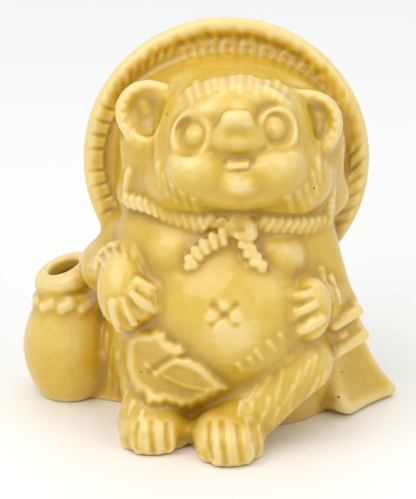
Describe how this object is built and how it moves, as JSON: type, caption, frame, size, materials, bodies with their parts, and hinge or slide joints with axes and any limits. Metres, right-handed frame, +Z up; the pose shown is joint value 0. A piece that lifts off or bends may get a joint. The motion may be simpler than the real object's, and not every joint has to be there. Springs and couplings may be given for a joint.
{
  "type": "tanuki ornament",
  "caption": "Seated tanuki ornament in honey-yellow glaze: straw hat tipped back like a halo, round belly, leaf, passbook, flared tail and a hollow sake flask with an open mouth.",
  "frame": {"origin": "on the table plane, on the base slab, under the axis of the body", "axes": "+Z up, the figure faces -Y, +X to the viewer's right (the figure's own left)"},
  "size_m": [0.0794, 0.0507, 0.0857],
  "materials": {
    "yellow_glaze": "glossy transparent yellow glaze, paler on ridges and deeper in hollows",
    "bare_clay": "unglazed fired clay, matt"
  },
  "bodies": {
    "root": {"torso": "yellow_glaze", "base_plate": "bare_clay", "belly": "yellow_glaze", "right_breast": "yellow_glaze", "left_breast": "yellow_glaze", "head": "yellow_glaze", "muzzle": "yellow_glaze", "nose": "yellow_glaze", "right_cheek": "yellow_glaze", "left_cheek": "yellow_glaze", "chin": "yellow_glaze", "tongue": "yellow_glaze", "right_eye_ring": "yellow_glaze", "left_eye_ring": "yellow_glaze", "right_eye": "yellow_glaze", "left_eye": "yellow_glaze", "right_ear": "yellow_glaze", "left_ear": "yellow_glaze", "hat_brim": "yellow_glaze", "hat_rim": "yellow_glaze", "hat_headband": "yellow_glaze", "hat_crown": "yellow_glaze", "chin_cord_right": "yellow_glaze", "chin_cord_left": "yellow_glaze", "cord_knot": "yellow_glaze", "cord_tail_right": "yellow_glaze", "cord_tail_left": "yellow_glaze", "right_arm": "yellow_glaze", "left_arm": "yellow_glaze", "right_paw": "yellow_glaze", "left_paw": "yellow_glaze", "leaf": "yellow_glaze", "right_leg": "yellow_glaze", "left_leg": "yellow_glaze", "right_foot": "yellow_glaze", "left_foot": "yellow_glaze", "flask_body": "yellow_glaze", "flask_neck": "yellow_glaze", "flask_cord": "yellow_glaze", "passbook": "yellow_glaze", "tail": "yellow_glaze"}
  },
  "joints": []
}
